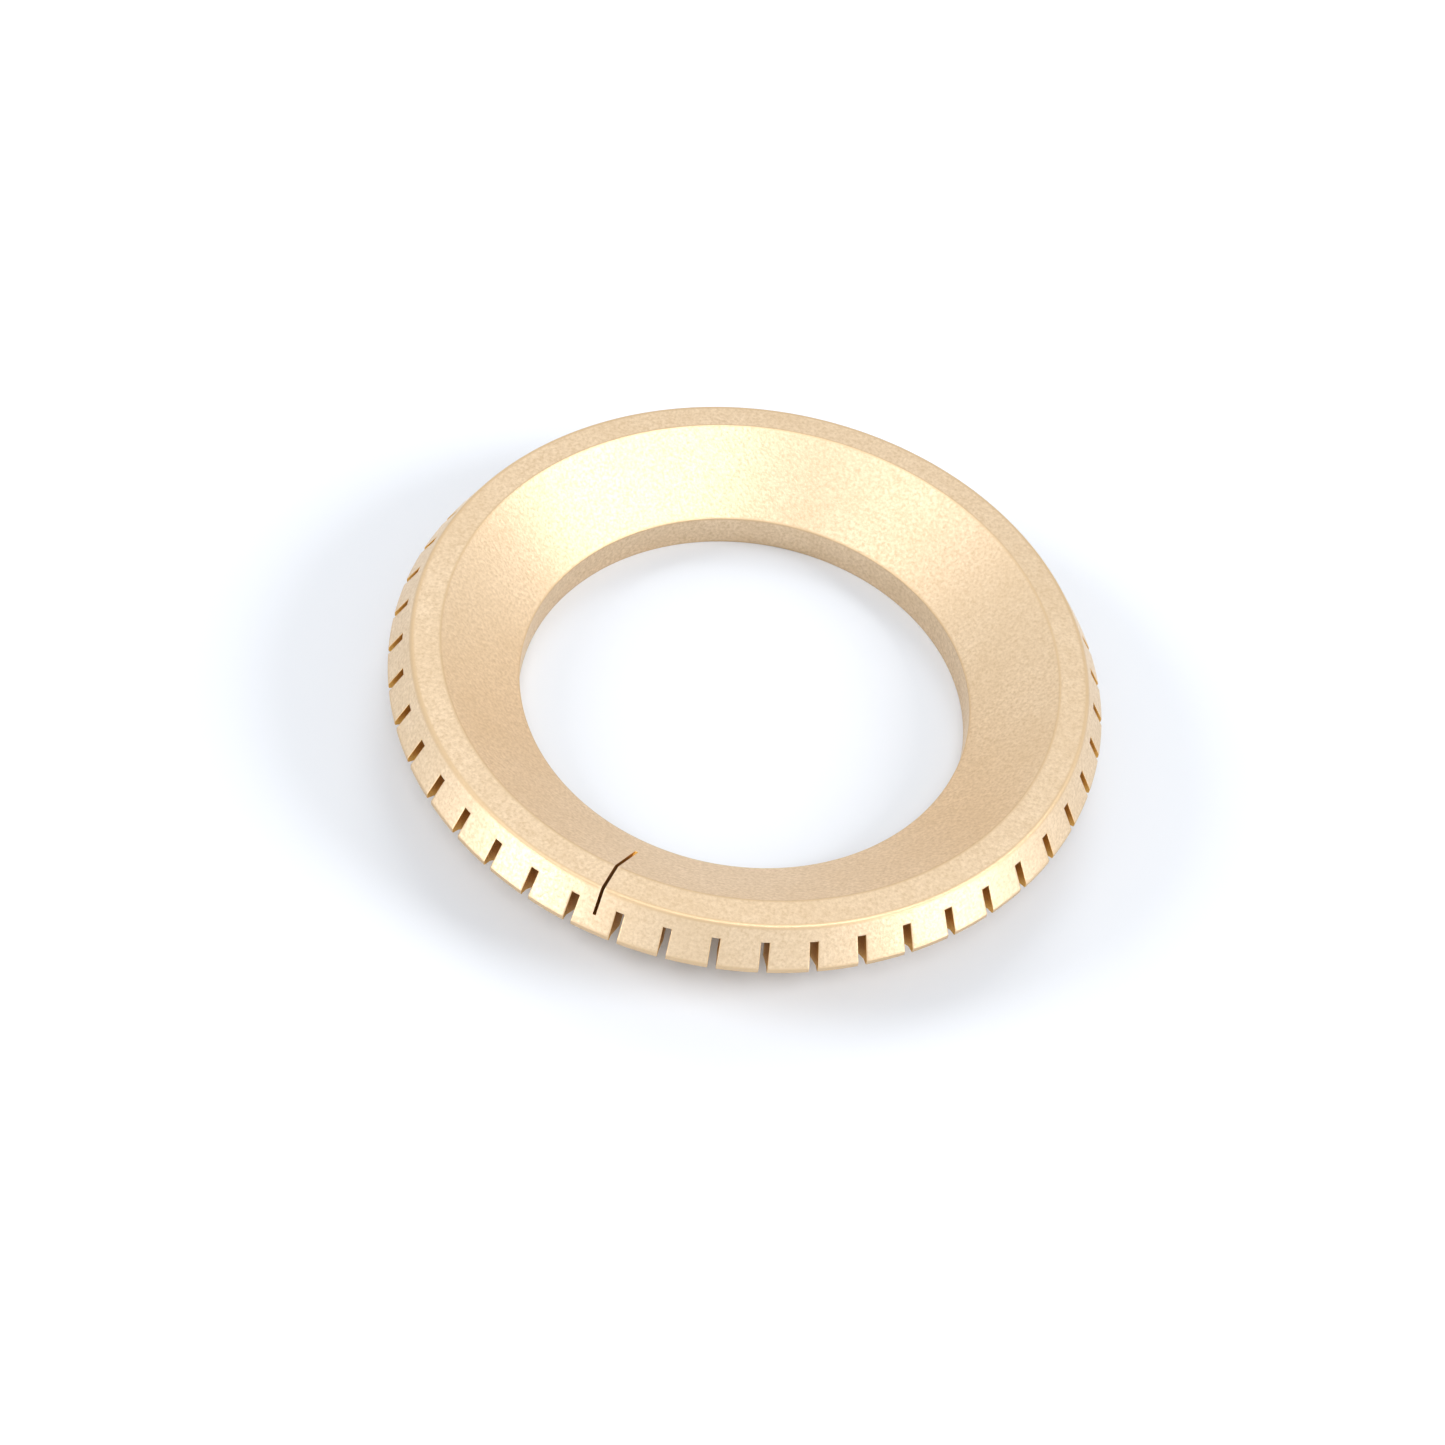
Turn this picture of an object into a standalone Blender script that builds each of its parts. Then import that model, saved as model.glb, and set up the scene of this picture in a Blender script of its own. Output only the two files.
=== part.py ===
"""Flame ring of a gas burner: one brass turning with flame ports sawn round its skirt.

The ring stands on its spigot at z = 0, with its axis on Z and its carry-over slit facing -Y.
"""

import math

import bmesh
import bpy
from mathutils import Matrix, Vector

# Driving dimensions, in metres and degrees
OUTER_DIAMETER = 0.110  # over the foot of the skirt
BORE_DIAMETER = 0.070  # through the spigot
RING_HEIGHT = 0.0148  # foot of the spigot to the rim
BORE_LENGTH = 0.0055  # straight bore below the funnel
SPIGOT_WALL = 0.0030  # thickness of the spigot
FUNNEL_WALL = 0.0025  # thickness of the funnel, square to its slope
RIM_WIDTH = 0.0044  # flat top of the ring
RIM_FILLET = 0.0006  # rounding of the rim's outer edge
SKIRT_ANGLE = 30.0  # lean of the skirt from upright
SKIRT_WALL = 0.0058  # thickness of the skirt, square to its slope
FOOT_HEIGHT = 0.0081  # foot of the spigot to the foot of the skirt
FOOT_LAND = 0.0009  # upright edge round the skirt's foot
FOOT_FLAT = 0.0011  # level ledge under the skirt's foot
SEAT_ANGLE = 35.0  # slope of the seat under the skirt, from level
CHANNEL_FILLET = 0.0010  # rounding at the crown of the gas channel
PORT_COUNT = 48  # flame ports round the skirt
PORT_WIDTH = 0.0012
PORT_ROOF = 0.0022  # rim to the top of a port
SLIT_WIDTH = 0.0005
SLIT_SAW_RADIUS = 0.020  # radius of the saw that cuts the carry-over slit
SLIT_FUNNEL_RUN = 0.0095  # length of the slit down the funnel
SLIT_SKIRT_RUN = 0.0043  # length of the slit down the skirt

# Fineness of the round shapes
FACETS_PER_PORT = 3  # facets of the ring for each port
ARC_STEPS = 4  # facets of a fillet
SAW_STEPS = 96  # facets of the saw's rim
CUT_CLEARANCE = 0.002  # how far a cutter stands clear of what it cuts


def crossing(point_a, slope_a, point_b, slope_b):
    """Point of the section where two lines meet, each given by a point and a direction."""
    offset = point_b - point_a
    along = offset.cross(slope_b) / slope_a.cross(slope_b)
    return point_a + slope_a * along


def fillet(before, corner, after, radius):
    """Arc that rounds one corner of the section."""
    to_before = (before - corner).normalized()
    to_after = (after - corner).normalized()
    half = to_before.angle(to_after) / 2
    centre = corner + (to_before + to_after).normalized() * (radius / math.sin(half))
    first = corner + to_before * (radius / math.tan(half)) - centre
    last = corner + to_after * (radius / math.tan(half)) - centre
    turn = math.atan2(first.cross(last), first.dot(last))
    return [centre + Matrix.Rotation(turn * step / ARC_STEPS, 2) @ first for step in range(ARC_STEPS + 1)]


# Corners of the ring's section, as (radius, height)
skirt_slope = Vector((-math.sin(math.radians(SKIRT_ANGLE)), math.cos(math.radians(SKIRT_ANGLE))))
seat_slope = Vector((-math.cos(math.radians(SEAT_ANGLE)), -math.sin(math.radians(SEAT_ANGLE))))
level = Vector((1.0, 0.0))
upright = Vector((0.0, 1.0))

land_bottom = Vector((OUTER_DIAMETER / 2, FOOT_HEIGHT))
land_top = land_bottom + upright * FOOT_LAND
rim_outer = crossing(land_top, skirt_slope, Vector((0.0, RING_HEIGHT)), level)
rim_inner = rim_outer - level * RIM_WIDTH

bore_foot = Vector((BORE_DIAMETER / 2, 0.0))
bore_top = bore_foot + upright * BORE_LENGTH
spigot_foot = bore_foot + level * SPIGOT_WALL
funnel_slope = (rim_inner - bore_top).normalized()

# The skirt's inner face and the funnel's back run parallel to their outer faces
skirt_back = land_top + Vector((-skirt_slope.y, skirt_slope.x)) * SKIRT_WALL
funnel_back = bore_top + Vector((funnel_slope.y, -funnel_slope.x)) * FUNNEL_WALL
seat_outer = land_bottom - level * FOOT_FLAT
seat_inner = crossing(seat_outer, seat_slope, skirt_back, skirt_slope)
crown = crossing(skirt_back, skirt_slope, funnel_back, funnel_slope)
spigot_top = crossing(spigot_foot, upright, funnel_back, funnel_slope)

rim_round = fillet(rim_inner, rim_outer, land_top, RIM_FILLET)
crown_round = fillet(seat_inner, crown, spigot_top, CHANNEL_FILLET)
section = [rim_inner, *rim_round, land_top, land_bottom, seat_outer, seat_inner]
section += [*crown_round, spigot_top, spigot_foot, bore_foot, bore_top]


def new_collection(name):
    collection = bpy.data.collections.new(name)
    bpy.context.scene.collection.children.link(collection)
    return collection


def new_object(name, mesh, collection):
    obj = bpy.data.objects.new(name, mesh)
    collection.objects.link(obj)
    return obj


def new_cutter(name, shape, collection):
    """Object from a finished bmesh, kept out of sight."""
    mesh = bpy.data.meshes.new(name)
    shape.to_mesh(mesh)
    shape.free()
    cutter = new_object(name, mesh, collection)
    cutter.hide_render = True
    cutter.display_type = 'WIRE'
    return cutter


def turned_ring(name, collection):
    """The section swept once round Z."""
    mesh = bpy.data.meshes.new(name)
    corners = [(point.x, 0.0, point.y) for point in section]
    edges = [(index, (index + 1) % len(section)) for index in range(len(section))]
    mesh.from_pydata(corners, edges, [])
    ring = new_object(name, mesh, collection)
    screw = ring.modifiers.new("turn", 'SCREW')
    screw.axis = 'Z'
    screw.angle = math.tau
    screw.steps = PORT_COUNT * FACETS_PER_PORT
    screw.render_steps = screw.steps
    screw.use_merge_vertices = True
    screw.merge_threshold = 0.00001
    return ring


def port_cutter(collection):
    """One upright blade for each port, from outside the skirt to the crown of the gas channel."""
    inner = sum((point.x for point in crown_round)) / len(crown_round)
    outer = OUTER_DIAMETER / 2 + CUT_CLEARANCE
    bottom = min(seat_inner.y, FOOT_HEIGHT) - CUT_CLEARANCE
    top = RING_HEIGHT - PORT_ROOF
    size = Matrix.Diagonal((PORT_WIDTH, outer - inner, top - bottom, 1.0))
    place = Matrix.Translation((0.0, -(outer + inner) / 2, (top + bottom) / 2))
    pitch = math.tau / PORT_COUNT
    shape = bmesh.new()
    for port in range(PORT_COUNT):
        # The slit falls in the middle of a tooth, half a pitch from its two ports
        turn = Matrix.Rotation(pitch * (port + 0.5), 4, 'Z')
        bmesh.ops.create_cube(shape, size=1.0, matrix=turn @ place @ size)
    return new_cutter("port_cutter", shape, collection)


def slit_cutter(collection):
    """Thin saw blade that plunges through the rim and runs out on the funnel and on the skirt."""
    funnel_end = rim_inner - funnel_slope * SLIT_FUNNEL_RUN
    skirt_end = rim_outer - skirt_slope * SLIT_SKIRT_RUN
    chord = skirt_end - funnel_end
    rise = math.sqrt(SLIT_SAW_RADIUS ** 2 - (chord.length / 2) ** 2)
    hub = (funnel_end + skirt_end) / 2 + Vector((-chord.y, chord.x)).normalized() * rise
    place = Matrix.Translation((0.0, -hub.x, hub.y)) @ Matrix.Rotation(math.pi / 2, 4, 'Y')
    shape = bmesh.new()
    bmesh.ops.create_cone(
        shape, cap_ends=True, segments=SAW_STEPS, radius1=SLIT_SAW_RADIUS, radius2=SLIT_SAW_RADIUS,
        depth=SLIT_WIDTH, matrix=place)
    return new_cutter("slit_cutter", shape, collection)


def cut(obj, cutter):
    boolean = obj.modifiers.new(cutter.name, 'BOOLEAN')
    boolean.operation = 'DIFFERENCE'
    boolean.solver = 'EXACT'
    boolean.object = cutter


def blasted_brass():
    material = bpy.data.materials.new("blasted_brass")
    material.use_nodes = True
    shader = material.node_tree.nodes["Principled BSDF"]
    shader.inputs["Base Color"].default_value = (0.76, 0.55, 0.29, 1.0)
    shader.inputs["Metallic"].default_value = 1.0
    shader.inputs["Roughness"].default_value = 0.5
    return material


def main():
    for obj in list(bpy.data.objects):
        bpy.data.objects.remove(obj)
    parts = new_collection("burner_flame_ring")
    cutters = new_collection("burner_flame_ring_cutters")

    ring = turned_ring("flame_ring", parts)
    cut(ring, port_cutter(cutters))
    cut(ring, slit_cutter(cutters))

    # The finished shape as a mesh, smooth round the turned faces and sharp at their edges
    graph = bpy.context.evaluated_depsgraph_get()
    finished = bpy.data.meshes.new_from_object(ring.evaluated_get(graph))
    ring.modifiers.clear()
    ring.data = finished
    finished.shade_smooth()
    finished.set_sharp_from_angle(angle=math.radians(SKIRT_ANGLE / 2))
    finished.materials.append(blasted_brass())


main()
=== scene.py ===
import math

import bmesh
import bpy
from mathutils import Matrix, Vector


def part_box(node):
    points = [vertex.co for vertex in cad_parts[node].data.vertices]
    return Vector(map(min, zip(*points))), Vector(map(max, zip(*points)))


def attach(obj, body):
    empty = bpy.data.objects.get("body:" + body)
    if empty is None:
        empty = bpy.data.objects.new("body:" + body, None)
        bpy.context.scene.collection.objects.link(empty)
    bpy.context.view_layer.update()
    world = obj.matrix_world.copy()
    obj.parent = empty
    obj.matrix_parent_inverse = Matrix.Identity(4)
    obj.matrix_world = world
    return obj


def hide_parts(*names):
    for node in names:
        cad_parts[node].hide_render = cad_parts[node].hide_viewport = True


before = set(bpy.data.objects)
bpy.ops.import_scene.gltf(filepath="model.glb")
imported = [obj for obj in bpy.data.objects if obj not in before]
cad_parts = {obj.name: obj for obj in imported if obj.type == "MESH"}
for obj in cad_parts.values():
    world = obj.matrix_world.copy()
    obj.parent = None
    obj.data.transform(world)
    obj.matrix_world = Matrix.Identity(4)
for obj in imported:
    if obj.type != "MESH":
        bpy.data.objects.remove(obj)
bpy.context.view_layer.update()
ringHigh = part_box("flame_ring")[1]
mm = 0.001
print("frame loaded:", ", ".join(sorted(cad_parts)))


# Flame ring: one tooth and its two half ports, repeated round the axis, then sawn once for the slit

flameRing = {
    "skirtRadius": ringHigh.x,  # over the foot of the skirt
    "ringHeight": ringHigh.z,  # foot of the spigot to the rim
    "boreRadius": 35.0 * mm,
    "boreLength": 5.5 * mm,  # straight bore below the funnel
    "spigotWall": 3.0 * mm,
    "funnelWall": 2.5 * mm,  # square to the slope
    "rimWidth": 4.4 * mm,
    "skirtLean": math.radians(30),  # from upright
    "skirtWall": 5.8 * mm,  # square to the slope
    "footHeight": 8.1 * mm,  # foot of the spigot to the foot of the skirt
    "footLand": 0.9 * mm,  # upright edge round the foot
    "footFlat": 1.1 * mm,  # level ledge under the foot
    "seatSlope": math.radians(35),  # seat under the skirt, from level
    "rimRounding": 0.6 * mm,  # outer edge of the rim
    "crownRounding": 1.0 * mm,  # top of the gas channel
    "edgeRounding": 0.22 * mm,  # the other turned edges, softened by the blasting
    "sawnRounding": 0.09 * mm,  # edges of the ports
    "toothCount": 48,
    "portWidth": 1.2 * mm,
    "portRoof": 2.2 * mm,  # rim to the top of a port
    "slitWidth": 0.5 * mm,
    "sawRadius": 20.0 * mm,  # saw that cuts the slit
    "slitDownFunnel": 9.5 * mm,
    "slitDownSkirt": 4.3 * mm,
    "wornAndShadedEdge": 0.3 * mm,  # width of the edge strip that takes edge wear and painted shade
    "toothColumns": 6,  # faces across a tooth, besides its worn edges
    "portColumns": 2,  # faces across half a port
    "arcSteps": 4,  # faces round a rounding
    "longestRun": 2.5 * mm,  # longest face down the section
    "sawFacets": 256,
    "sawnRoundingSteps": 2,  # faces round the edge of a port
    "weld": 0.002 * mm,  # points of neighbouring teeth that become one
    "sharpAngle": math.radians(50),  # edges turned further than this stay sharp
}


def meet(pointA, slopeA, pointB, slopeB):
    along = (pointB - pointA).cross(slopeB) / slopeA.cross(slopeB)
    return pointA + slopeA * along


def roundCorner(before, corner, after, radius, steps):
    toBefore = (before - corner).normalized()
    toAfter = (after - corner).normalized()
    half = toBefore.angle(toAfter) / 2
    centre = corner + (toBefore + toAfter).normalized() * (radius / math.sin(half))
    first = corner + toBefore * (radius / math.tan(half)) - centre
    last = corner + toAfter * (radius / math.tan(half)) - centre
    turn = math.atan2(first.cross(last), first.dot(last))
    return [centre + Matrix.Rotation(turn * step / steps, 2) @ first for step in range(steps + 1)]


def ringCorners(size):
    # corners of the section as (radius, height), up the bore, over the rim and back underneath
    level, upright = Vector((1, 0)), Vector((0, 1))
    skirtRise = Vector((-math.sin(size["skirtLean"]), math.cos(size["skirtLean"])))
    seatFall = Vector((-math.cos(size["seatSlope"]), -math.sin(size["seatSlope"])))
    landBottom = Vector((size["skirtRadius"], size["footHeight"]))
    landTop = landBottom + upright * size["footLand"]
    rimOuter = meet(landTop, skirtRise, upright * size["ringHeight"], level)
    rimInner = rimOuter - level * size["rimWidth"]
    boreFoot = level * size["boreRadius"]
    boreTop = boreFoot + upright * size["boreLength"]
    funnelRise = (rimInner - boreTop).normalized()
    skirtBack = landTop + Vector((-skirtRise.y, skirtRise.x)) * size["skirtWall"]
    funnelBack = boreTop + Vector((funnelRise.y, -funnelRise.x)) * size["funnelWall"]
    seatOuter = landBottom - level * size["footFlat"]
    spigotFoot = boreFoot + level * size["spigotWall"]
    portTop = upright * (size["ringHeight"] - size["portRoof"])
    return {
        "boreFoot": boreFoot,
        "boreTop": boreTop,
        "rimInner": rimInner,
        "rimOuter": rimOuter,
        "portMouth": meet(landTop, skirtRise, portTop, level),
        "landTop": landTop,
        "landBottom": landBottom,
        "seatOuter": seatOuter,
        "seatInner": meet(seatOuter, seatFall, skirtBack, skirtRise),
        "crown": meet(skirtBack, skirtRise, funnelBack, funnelRise),
        "spigotTop": meet(spigotFoot, upright, funnelBack, funnelRise),
        "spigotFoot": spigotFoot,
    }


def splitRun(start, end, longest, margin=0):
    # points from start up to end, none further apart than longest, with a narrow first and last face
    leeway = 0.01  # share of a face by which a run may be too long
    length = (end - start).length
    if length < 3 * margin:  # no room for a middle
        margin = 0
    pieces = max(1, math.ceil((length - 2 * margin) / longest - leeway))
    stops = [margin + (length - 2 * margin) * piece / pieces for piece in range(pieces + 1)]
    stops = [0] * (margin > 0) + stops[:-1] + [length - margin] * (margin > 0)
    return [start.lerp(end, stop / length) for stop in stops]


def ringSection(size, corners):
    # closed row of points with the edge wear and painted shade of each, and the rows where the ports begin
    # and end
    rounding = dict.fromkeys(corners, size["edgeRounding"])
    rounding.update(rimOuter=size["rimRounding"], crown=size["crownRounding"], portMouth=0)
    unwornUnshaded = ("crown", "spigotTop", "portMouth")  # hollow corners, and the mouth that the saw makes
    names = list(corners)
    arcs = {}
    for place, name in enumerate(names):
        before, after = corners[names[place - 1]], corners[names[(place + 1) % len(names)]]
        arcs[name] = [corners[name]]
        if rounding[name]:
            arcs[name] = roundCorner(before, corners[name], after, rounding[name], size["arcSteps"])
    loop, wearAndShade, middle = [], [], {}
    for place, name in enumerate(names):
        arc, following = arcs[name], arcs[names[(place + 1) % len(names)]]
        middle[name] = len(loop) + len(arc) // 2
        run = splitRun(arc[-1], following[0], size["longestRun"], size["wornAndShadedEdge"])
        loop += arc[:-1] + run
        wearAndShade += [float(name not in unwornUnshaded)] * len(arc) + [0.0] * (len(run) - 1)
    return loop, wearAndShade, middle["portMouth"], middle["crown"]


def toothPattern(size, finishes):
    # the slit's tooth stands at -Y, between the middles of its two ports
    corners = ringCorners(size)
    loop, wearAndShade, mouthRow, crownRow = ringSection(size, corners)
    halfPitch = math.pi / size["toothCount"]
    shape = bmesh.new()
    sawn = shape.faces.layers.bool.new("sawn")
    weight = shape.edges.layers.float.new("bevel_weight_edge")
    wornAndShaded = shape.verts.layers.float.new("wornAndShaded")

    def wallAngle(radius):
        return halfPitch - math.asin(size["portWidth"] / 2 / radius)

    def cornerAt(point, across, rubbedAndShaded):
        # across runs from -1 to 1 over the tooth, and on to -2 and 2 at the middles of the ports
        wall = wallAngle(point.x)
        beyond = max(0.0, abs(across) - 1)
        angle = math.copysign(min(abs(across), 1.0) * wall + beyond * (halfPitch - wall), across)
        corner = shape.verts.new((point.x * math.sin(angle), -point.x * math.cos(angle), point.y))
        corner[wornAndShaded] = rubbedAndShaded
        return corner

    toothSteps, portSteps = size["toothColumns"], size["portColumns"]
    narrow = 1 - size["wornAndShadedEdge"] / (wallAngle(size["skirtRadius"]) * size["skirtRadius"])
    overTooth = [narrow * (2 * step / toothSteps - 1) for step in range(toothSteps + 1)]
    overTooth = [-1, *overTooth, 1]
    overPort = [1 + step / portSteps for step in range(1, portSteps + 1)]
    columns = [-across for across in reversed(overPort)] + overTooth + overPort
    firstTooth, lastTooth = portSteps, portSteps + len(overTooth) - 1

    def onTooth(column):
        return firstTooth <= column <= lastTooth

    def skirtRow(row):
        return mouthRow < row < crownRow

    grid = {}
    for row, point in enumerate(loop):
        for column, across in enumerate(columns):
            if onTooth(column) or not skirtRow(row):
                # tooth edges beside a port take the edge wear and painted shade too
                besidePort = mouthRow <= row < crownRow and column in (firstTooth, lastTooth)
                grid[row, column] = cornerAt(point, across, max(wearAndShade[row], float(besidePort)))

    def addFace(around, isSawn):
        face = shape.faces.new(around)
        face[sawn] = isSawn
        face.material_index = int(isSawn)

    def strip(upper, lower, isSawn):
        for left in range(len(upper) - 1):
            addFace((upper[left], lower[left], lower[left + 1], upper[left + 1]), isSawn)

    for row in range(len(loop)):
        below = (row + 1) % len(loop)
        held = [column for column in range(len(columns))
                if onTooth(column) or not mouthRow <= row < crownRow]
        strip([grid[row, column] for column in held], [grid[below, column] for column in held], False)

    # roof of the port, from its mouth to the crown of the gas channel, and its side wall
    mouth, crown = loop[mouthRow], loop[crownRow]
    inner = Vector((crown.x, mouth.y))
    roof = splitRun(mouth, inner, size["longestRun"]) + splitRun(inner, crown, size["longestRun"])
    for side, wall in ((1, lastTooth), (-1, firstTooth)):
        held = [wall + side * step for step in range(portSteps + 1)]
        rows = [[grid[mouthRow, column] for column in held]]
        rows += [[cornerAt(point, columns[column], 0.0) for column in held] for point in roof[1:]]
        rows += [[grid[crownRow, column] for column in held]]
        for upper, lower in zip(rows, rows[1:]):
            strip(upper[::side], lower[::side], True)
        outline = [grid[row, wall] for row in range(mouthRow, crownRow + 1)]
        outline += [row[0] for row in reversed(rows[1:-1])]
        addFace(outline[::side], True)

    for edge in shape.edges:
        kinds = [face[sawn] for face in edge.link_faces]
        edge[weight] = float(len(kinds) == 2 and kinds[0] != kinds[1])
    mesh = bpy.data.meshes.new("toothPattern")
    shape.to_mesh(mesh)
    shape.free()
    for finish in finishes:
        mesh.materials.append(finish)
    tooth = bpy.data.objects.new("toothPattern", mesh)
    bpy.context.scene.collection.objects.link(tooth)
    soften = tooth.modifiers.new("softenSawnEdges", "BEVEL")
    soften.limit_method = "WEIGHT"
    soften.width = size["sawnRounding"]
    soften.segments = size["sawnRoundingSteps"]
    soften.use_clamp_overlap = False
    return tooth, corners


def addNode(tree, kind, inputs=None, **settings):
    # inputs takes plain values and sockets to link from
    node = tree.nodes.new(kind)
    for name, value in settings.items():
        setattr(node, name, value)
    for key, value in (inputs or {}).items():
        if isinstance(value, bpy.types.NodeSocket):
            tree.links.new(value, node.inputs[key])
        else:
            node.inputs[key].default_value = value
    return node


def ringTree():
    tree = bpy.data.node_groups.new("sawnRing", "GeometryNodeTree")
    sockets = {
        "Tooth": "NodeSocketObject", "Tooth Count": "NodeSocketInt", "Weld": "NodeSocketFloat",
        "Slit Width": "NodeSocketFloat",
        "Saw Radius": "NodeSocketFloat", "Saw Facets": "NodeSocketInt", "Saw Hub": "NodeSocketVector",
        "Blasted Finish": "NodeSocketMaterial", "Sawn And Shaded Finish": "NodeSocketMaterial",
    }
    for name, kind in sockets.items():
        tree.interface.new_socket(name, in_out="INPUT", socket_type=kind)
    tree.interface.new_socket("Ring", in_out="OUTPUT", socket_type="NodeSocketGeometry")
    given = tree.nodes.new("NodeGroupInput").outputs

    # teeth round the axis
    points = addNode(tree, "GeometryNodePoints", {"Count": given["Tooth Count"]})
    index = tree.nodes.new("GeometryNodeInputIndex")
    pitch = addNode(tree, "ShaderNodeMath", {0: math.tau, 1: given["Tooth Count"]}, operation="DIVIDE")
    turn = addNode(tree, "ShaderNodeMath", {0: index.outputs[0], 1: pitch.outputs[0]}, operation="MULTIPLY")
    spin = addNode(tree, "ShaderNodeCombineXYZ", {"Z": turn.outputs[0]})
    tooth = addNode(tree, "GeometryNodeObjectInfo", {"Object": given["Tooth"]})
    teeth = addNode(tree, "GeometryNodeInstanceOnPoints", {
        "Points": points.outputs[0], "Instance": tooth.outputs["Geometry"], "Rotation": spin.outputs[0]})
    loose = addNode(tree, "GeometryNodeRealizeInstances", {0: teeth.outputs[0]})
    whole = addNode(tree, "GeometryNodeMergeByDistance", {
        "Geometry": loose.outputs[0], "Distance": given["Weld"]})

    # one thin saw plunged through rim, funnel and skirt
    disc = addNode(tree, "GeometryNodeMeshCylinder", {
        "Vertices": given["Saw Facets"], "Radius": given["Saw Radius"], "Depth": given["Slit Width"]})
    marked = addNode(tree, "GeometryNodeStoreNamedAttribute", {
        "Geometry": disc.outputs["Mesh"], "Name": "sawn",
        "Value": True}, data_type="BOOLEAN", domain="FACE")
    edged = addNode(tree, "GeometryNodeSetMaterial", {
        "Geometry": marked.outputs[0], "Material": given["Sawn And Shaded Finish"]})
    saw = addNode(tree, "GeometryNodeTransform", {
        "Geometry": edged.outputs[0], "Translation": given["Saw Hub"], "Rotation": (0, math.pi / 2, 0)})
    slit = addNode(tree, "GeometryNodeMeshBoolean", {
        "Mesh 1": whole.outputs[0], "Mesh 2": saw.outputs[0]}, operation="DIFFERENCE")

    # finishes
    sawnFaces = addNode(tree, "GeometryNodeInputNamedAttribute", {"Name": "sawn"}, data_type="BOOLEAN")
    ring = addNode(tree, "GeometryNodeRealizeInstances", {0: slit.outputs["Mesh"]})
    blasted = addNode(tree, "GeometryNodeSetMaterial", {
        "Geometry": ring.outputs[0], "Material": given["Blasted Finish"]})
    # the sawn faces of the ports and slit take the darker sawn brass, painted shade in these recesses
    sawnOver = addNode(tree, "GeometryNodeSetMaterial", {
        "Geometry": blasted.outputs[0], "Selection": sawnFaces.outputs[0],
        "Material": given["Sawn And Shaded Finish"]})
    tree.links.new(sawnOver.outputs[0], tree.nodes.new("NodeGroupOutput").inputs[0])
    return tree


def sawHub(size, corners):
    # centre of the saw whose rim leaves the ring at the two ends of the slit
    funnelFall = (corners["boreTop"] - corners["rimInner"]).normalized()
    skirtFall = (corners["landTop"] - corners["rimOuter"]).normalized()
    funnelEnd = corners["rimInner"] + funnelFall * size["slitDownFunnel"]
    skirtEnd = corners["rimOuter"] + skirtFall * size["slitDownSkirt"]
    chord = skirtEnd - funnelEnd
    rise = math.sqrt(size["sawRadius"] ** 2 - (chord.length / 2) ** 2)
    hub = (funnelEnd + skirtEnd) / 2 + Vector((-chord.y, chord.x)).normalized() * rise
    return Vector((0, -hub.x, hub.y))


def plainMesh(obj, name):
    graph = bpy.context.evaluated_depsgraph_get()
    mesh = bpy.data.meshes.new_from_object(obj.evaluated_get(graph), depsgraph=graph)
    mesh.name = name
    return mesh


def makeFlameRing(size, blasted, sawn):
    tooth, corners = toothPattern(size, (blasted, sawn))
    tree = ringTree()
    ring = bpy.data.objects.new("flameRing", bpy.data.meshes.new("flameRing"))
    bpy.context.scene.collection.objects.link(ring)
    build = ring.modifiers.new("sawnRing", "NODES")
    build.node_group = tree
    values = {
        "Tooth": tooth, "Tooth Count": size["toothCount"], "Weld": size["weld"],
        "Slit Width": size["slitWidth"], "Saw Radius": size["sawRadius"],
        "Saw Facets": size["sawFacets"], "Saw Hub": sawHub(size, corners),
        "Blasted Finish": blasted, "Sawn And Shaded Finish": sawn,
    }
    for item in tree.interface.items_tree:
        if item.in_out == "INPUT":
            build[item.identifier] = values[item.name]
    mesh = plainMesh(ring, "flameRing")
    ring.modifiers.clear()
    ring.data = mesh
    bpy.data.objects.remove(tooth)

    mesh.shade_smooth()
    mesh.set_sharp_from_angle(angle=size["sharpAngle"])
    flatten = ring.modifiers.new("flatFacesStayFlat", "WEIGHTED_NORMAL")
    flatten.keep_sharp = True
    mesh = plainMesh(ring, "flameRingFinished")
    ring.modifiers.clear()
    ring.data = mesh
    return ring


# Finishes

blastedFinish = {
    "pit": (0.655, 0.496, 0.322, 1),  # low spots of the grain
    "crest": (0.856, 0.686, 0.490, 1),  # high spots of the grain
    "handled": (0.685, 0.515, 0.325, 1),  # soft patches
    "wornAndShaded": (0.640, 0.460, 0.265, 1),  # edges, a deeper brass: rubbed wear, and painted shade that dims their highlight
    "grainSize": 0.50 * mm,
    "grainDepth": 0.035 * mm,
    "patchSize": 9.0 * mm,
    "patchShare": 0.35,
    "wearAndShadeShare": 0.75,
    "roughness": (0.40, 0.50),  # on the crests and in the pits
}

# sawn walls of the ports and slit: real saw marks, and a colour darker and more orange than the blasted
# brass, which is painted shade in these recesses
sawnAndShadedFinish = {
    "pit": (0.560, 0.300, 0.065, 1),
    "crest": (0.760, 0.440, 0.120, 1),
    "handled": (0.520, 0.270, 0.055, 1),
    "wornAndShaded": (0.760, 0.440, 0.120, 1),
    "grainSize": 0.25 * mm,
    "grainDepth": 0.015 * mm,
    "sawMark": 0.09 * mm,  # height of one saw mark
    "sawMarkLength": 20,  # times its height
    "patchSize": 4.0 * mm,
    "patchShare": 0.5,
    "wearAndShadeShare": 0.6,
    "roughness": (0.38, 0.52),
}


def newGroup(name, inputs, outputs):
    tree = bpy.data.node_groups.new(name, "ShaderNodeTree")
    for socket, kind in inputs.items():
        tree.interface.new_socket(socket, in_out="INPUT", socket_type=kind)
    for socket in outputs:
        tree.interface.new_socket(socket, in_out="OUTPUT", socket_type="NodeSocketFloat")
    return tree, tree.nodes.new("NodeGroupInput").outputs, tree.nodes.new("NodeGroupOutput").inputs


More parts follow.
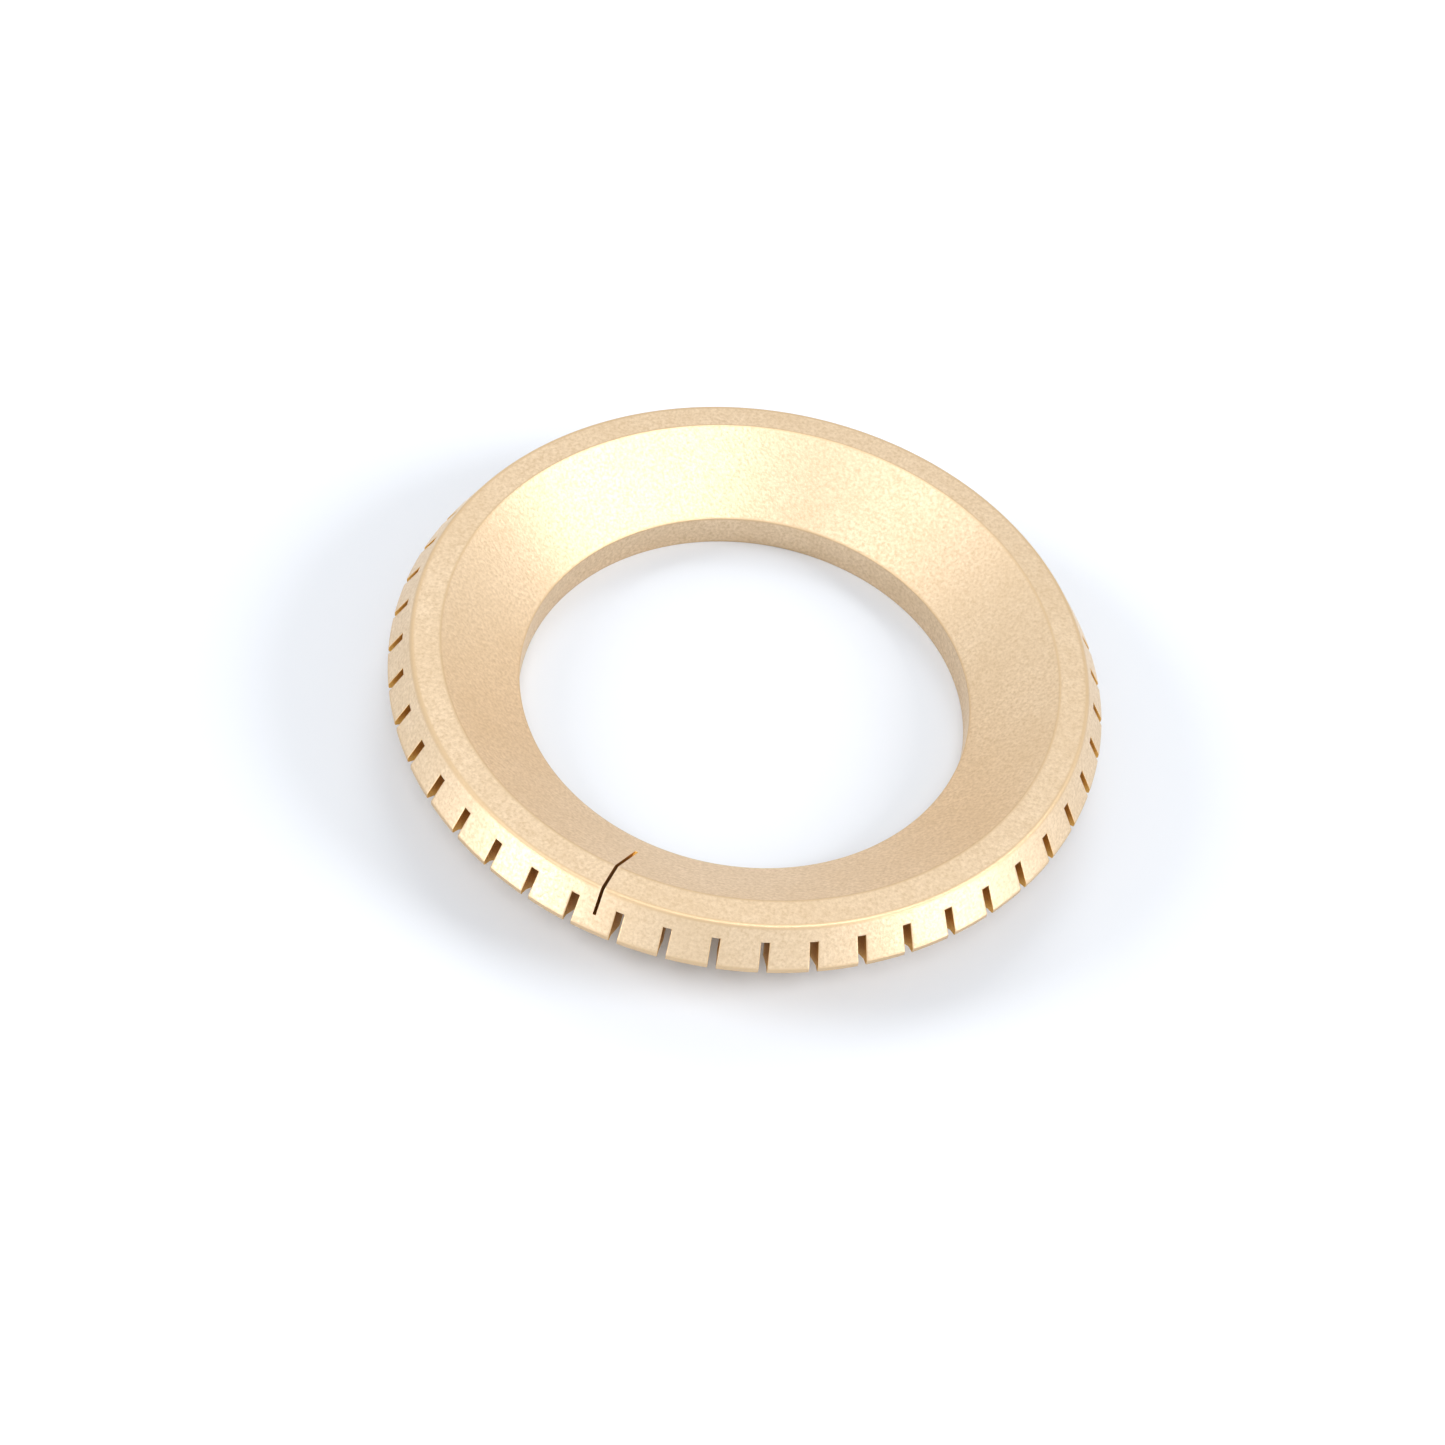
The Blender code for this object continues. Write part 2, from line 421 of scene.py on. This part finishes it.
def grainGroup():
    # fine overlapping dents that the beads leave
    dentShare = 0.4  # of the dents in the height, beside the crests
    tree, given, made = newGroup(
        "beadGrain", {"Position": "NodeSocketVector", "Grain Size": "NodeSocketFloat"}, ("Height", "Fleck"))
    density = addNode(tree, "ShaderNodeMath", {0: 1.0, 1: given["Grain Size"]}, operation="DIVIDE")
    crests = addNode(tree, "ShaderNodeTexNoise", {
        "Vector": given["Position"], "Scale": density.outputs[0], "Detail": 3.0, "Roughness": 0.6})
    dents = addNode(tree, "ShaderNodeTexVoronoi", {
        "Vector": given["Position"], "Scale": density.outputs[0], "Smoothness": 0.6}, feature="SMOOTH_F1")
    height = addNode(tree, "ShaderNodeMath", {
        0: dents.outputs["Distance"], 1: dentShare, 2: crests.outputs["Fac"]}, operation="MULTIPLY_ADD")
    fleck = addNode(tree, "ShaderNodeMapRange", {
        "Value": crests.outputs["Fac"], "From Min": 0.3, "From Max": 0.7})
    tree.links.new(height.outputs[0], made["Height"])
    tree.links.new(fleck.outputs[0], made["Fleck"])
    return tree


def handledGroup():
    # soft patches of a slightly deeper tone, as on brass that was picked up
    tree, given, made = newGroup("handledPatches", {
        "Position": "NodeSocketVector", "Patch Size": "NodeSocketFloat",
        "Share": "NodeSocketFloat"}, ("Patch",))
    density = addNode(tree, "ShaderNodeMath", {0: 1.0, 1: given["Patch Size"]}, operation="DIVIDE")
    clouds = addNode(tree, "ShaderNodeTexNoise", {
        "Vector": given["Position"], "Scale": density.outputs[0], "Detail": 5.0, "Roughness": 0.55})
    patch = addNode(tree, "ShaderNodeMapRange", {
        "Value": clouds.outputs["Fac"], "From Min": 0.35, "From Max": 0.7, "To Max": given["Share"]})
    tree.links.new(patch.outputs[0], made["Patch"])
    return tree


def wornAndShadedGroup():
    # edge wear and painted edge shade, broken up by the grain
    inPits, onCrests = 0.5, 1.1  # edge wear and shade, before it is held to 1
    tree, given, made = newGroup("wornAndShadedEdges", {
        "Edge": "NodeSocketFloat", "Fleck": "NodeSocketFloat", "Share": "NodeSocketFloat"}, ("Wear And Shade",))
    broken = addNode(tree, "ShaderNodeMath", {
        0: given["Fleck"], 1: onCrests - inPits, 2: inPits}, operation="MULTIPLY_ADD")
    rubbedAndShaded = addNode(tree, "ShaderNodeMath", {
        0: given["Edge"], 1: broken.outputs[0]}, operation="MULTIPLY", use_clamp=True)
    wearAndShade = addNode(tree, "ShaderNodeMath", {0: rubbedAndShaded.outputs[0], 1: given["Share"]}, operation="MULTIPLY")
    tree.links.new(wearAndShade.outputs[0], made["Wear And Shade"])
    return tree


def mixColours(tree, factor, first, second):
    mix = tree.nodes.new("ShaderNodeMix")
    mix.data_type = "RGBA"
    values = {"Factor_Float": factor, "A_Color": first, "B_Color": second}
    for socket in mix.inputs:
        value = values.get(socket.identifier)
        if isinstance(value, bpy.types.NodeSocket):
            tree.links.new(value, socket)
        elif value is not None:
            socket.default_value = value
    return next(socket for socket in mix.outputs if socket.identifier == "Result_Color")


def brassMaterial(name, finish, groups):
    material = bpy.data.materials.new(name)
    material.use_nodes = True
    tree = material.node_tree
    shader = tree.nodes["Principled BSDF"]
    shader.inputs["Metallic"].default_value = 1
    place = tree.nodes.new("ShaderNodeTexCoord").outputs["Object"]
    grain = addNode(tree, "ShaderNodeGroup", {
        "Position": place, "Grain Size": finish["grainSize"]}, node_tree=groups["grain"]).outputs
    patches = addNode(tree, "ShaderNodeGroup", {
        "Position": place, "Patch Size": finish["patchSize"],
        "Share": finish["patchShare"]}, node_tree=groups["handled"]).outputs
    edge = addNode(tree, "ShaderNodeAttribute", attribute_name="wornAndShaded").outputs["Fac"]
    wearAndShade = addNode(tree, "ShaderNodeGroup", {
        "Edge": edge, "Fleck": grain["Fleck"],
        "Share": finish["wearAndShadeShare"]}, node_tree=groups["wornAndShaded"]).outputs

    colour = mixColours(tree, grain["Fleck"], finish["pit"], finish["crest"])
    colour = mixColours(tree, patches["Patch"], colour, finish["handled"])
    # edges: wear, and on the blasted brass painted shade that dims the edge highlight
    colour = mixColours(tree, wearAndShade["Wear And Shade"], colour, finish["wornAndShaded"])
    tree.links.new(colour, shader.inputs["Base Color"])

    smooth, rough = finish["roughness"]
    dull = addNode(tree, "ShaderNodeMapRange", {"Value": grain["Fleck"], "To Min": rough, "To Max": smooth})
    tree.links.new(dull.outputs[0], shader.inputs["Roughness"])

    height = grain["Height"]
    if "sawMark" in finish:  # level lines left by the saw
        drawn = 1 / finish["sawMarkLength"]
        along = addNode(tree, "ShaderNodeMapping", {"Vector": place, "Scale": (drawn, drawn, 1)})
        lines = addNode(tree, "ShaderNodeTexNoise", {
            "Vector": along.outputs[0], "Scale": 1 / finish["sawMark"], "Detail": 2.0})
        scored = addNode(tree, "ShaderNodeMath", {0: height, 1: lines.outputs["Fac"]}, operation="ADD")
        height = scored.outputs[0]
    bump = addNode(tree, "ShaderNodeBump", {"Height": height, "Distance": finish["grainDepth"]})
    tree.links.new(bump.outputs[0], shader.inputs["Normal"])
    return material


brassGroups = {"grain": grainGroup(), "handled": handledGroup(), "wornAndShaded": wornAndShadedGroup()}
blastedBrass = brassMaterial("blastedBrass", blastedFinish, brassGroups)
# the sawn brass is darker and more orange as painted shade in the ports and slit
sawnAndShadedBrass = brassMaterial("sawnAndShadedBrass", sawnAndShadedFinish, brassGroups)
print("finishes: blasted and sawn brass")

ring = makeFlameRing(flameRing, blastedBrass, sawnAndShadedBrass)
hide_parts("flame_ring")
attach(ring, "root")
print("flame ring:", len(ring.data.polygons), "faces")


# Studio

studio = {
    "floorSize": 4.0,
    "floorColour": (0.885, 0.92, 0.975, 1),
    "roomLight": 0.42,  # light of the white room on the floor, where what is seen of it is 1
}

softboxes = {  # degrees round from the camera and up, metres, watts, and what the box is there for
    "rightKey": {"round": 92, "up": 46, "away": 1, "size": (0.36, 0.36), "power": 1.62, "for": "ring"},
    "highKey": {"round": 55, "up": 66, "away": 1, "size": (0.40, 0.40), "power": 1.80, "for": "ring"},
    "overhead": {"round": 0, "up": 88, "away": 1, "size": (0.50, 0.50), "power": 0.56, "for": "ring"},
    "leftFill": {"round": -65, "up": 60, "away": 1, "size": (0.50, 0.50), "power": 1.17, "for": "ring"},
    "rightStrip": {"round": 66, "up": 8, "away": 1, "size": (0.60, 0.30), "power": 2.61, "for": "ring"},
    "leftStrip": {"round": -49, "up": 8, "away": 1, "size": (0.50, 0.30), "power": 2.22, "for": "ring"},
    "backFill": {"round": -150, "up": 48, "away": 1, "size": (0.40, 0.40), "power": 0.23, "for": "ring"},
    "floorFront": {"round": 0, "up": 60, "away": 2, "size": (1.00, 1.00), "power": 8.6, "for": "floor"},
    "floorRight": {"round": 90, "up": 25, "away": 2, "size": (1.00, 1.00), "power": 27.5, "for": "floor"},
    "floorLeft": {"round": -90, "up": 25, "away": 2, "size": (1.00, 1.00), "power": 22.0, "for": "floor"},
    "floorBack": {"round": 180, "up": 40, "away": 2, "size": (1.00, 1.00), "power": 8.6, "for": "floor"},
}


def makeFloor(setup):
    half = setup["floorSize"] / 2
    mesh = bpy.data.meshes.new("floor")
    corners = [(-half, -half, 0), (half, -half, 0), (half, half, 0), (-half, half, 0)]
    mesh.from_pydata(corners, [], [(0, 1, 2, 3)])
    floor = bpy.data.objects.new("floor", mesh)
    bpy.context.scene.collection.objects.link(floor)
    material = bpy.data.materials.new("paleFloor")
    material.use_nodes = True
    shader = material.node_tree.nodes["Principled BSDF"]
    shader.inputs["Base Color"].default_value = setup["floorColour"]
    shader.inputs["Roughness"].default_value = 1
    shader.inputs["Specular IOR Level"].default_value = 0
    mesh.materials.append(material)


def makeWorld(setup):
    world = bpy.data.worlds.new("whiteRoom")
    world.use_nodes = True
    tree = world.node_tree
    path = tree.nodes.new("ShaderNodeLightPath").outputs
    shown = addNode(tree, "ShaderNodeMath", {
        0: path["Is Camera Ray"], 1: path["Is Glossy Ray"]}, operation="MAXIMUM")
    shown = addNode(tree, "ShaderNodeMath", {
        0: shown.outputs[0], 1: path["Is Transmission Ray"]}, operation="MAXIMUM")
    seen = addNode(tree, "ShaderNodeMath", {  # not by way of the floor, which would lose the shadow
        0: shown.outputs[0], 1: path["Diffuse Depth"]}, operation="GREATER_THAN")
    strength = addNode(tree, "ShaderNodeMapRange", {
        "Value": seen.outputs[0], "To Min": setup["roomLight"], "To Max": 1.0})
    back = tree.nodes["Background"]
    back.inputs["Color"].default_value = (1, 1, 1, 1)
    tree.links.new(strength.outputs[0], back.inputs["Strength"])
    world.cycles.sampling_method = "NONE"  # each kind of ray finds its own strength
    bpy.context.scene.world = world


def towards(azimuth, elevation):
    a, e = math.radians(azimuth), math.radians(elevation)
    return Vector((math.sin(a) * math.cos(e), -math.cos(a) * math.cos(e), math.sin(e)))


def makeSoftboxes(boxes, cameraAzimuth):
    for name, box in boxes.items():
        data = bpy.data.lights.new(name, "AREA")
        data.shape = "ELLIPSE"
        data.size, data.size_y = box["size"]
        data.energy = box["power"]
        lamp = bpy.data.objects.new(name, data)
        away = towards(cameraAzimuth + box["round"], box["up"])
        lamp.location = away * box["away"]
        lamp.rotation_mode = "QUATERNION"
        lamp.rotation_quaternion = away.to_track_quat("Z", "Y")
        lamp.visible_diffuse = box["for"] == "floor"
        lamp.visible_glossy = box["for"] == "ring"
        bpy.context.scene.collection.objects.link(lamp)


# Camera at the photograph's view, for a square picture

cameraView = {
    "lens": 61.588,
    "sensor": 36.0,
    "azimuth": 16.766,
    "elevation": 50.457,
    "roll": 10.084,
    "distance": 375.176 * mm,
    "aim": Vector((0.374, -10.086, 7.0)) * mm,
    "nearest": 10.0 * mm,
}


def makeCamera(setup):
    data = bpy.data.cameras.new("photoView")
    data.lens = setup["lens"]
    data.sensor_width = setup["sensor"]
    data.clip_start = setup["nearest"]
    camera = bpy.data.objects.new("photoView", data)
    away = towards(setup["azimuth"], setup["elevation"])
    roll = Matrix.Rotation(math.radians(setup["roll"]), 4, "Z")
    place = Matrix.Translation(setup["aim"] + away * setup["distance"])
    camera.matrix_world = place @ away.to_track_quat("Z", "Y").to_matrix().to_4x4() @ roll
    bpy.context.scene.collection.objects.link(camera)
    bpy.context.scene.camera = camera


makeFloor(studio)
makeWorld(studio)
makeSoftboxes(softboxes, cameraView["azimuth"])
makeCamera(cameraView)
print("studio:", len(softboxes), "softboxes")
bpy.context.scene.view_settings.view_transform = "Standard"
print("camera: azimuth", cameraView["azimuth"], "elevation", cameraView["elevation"])
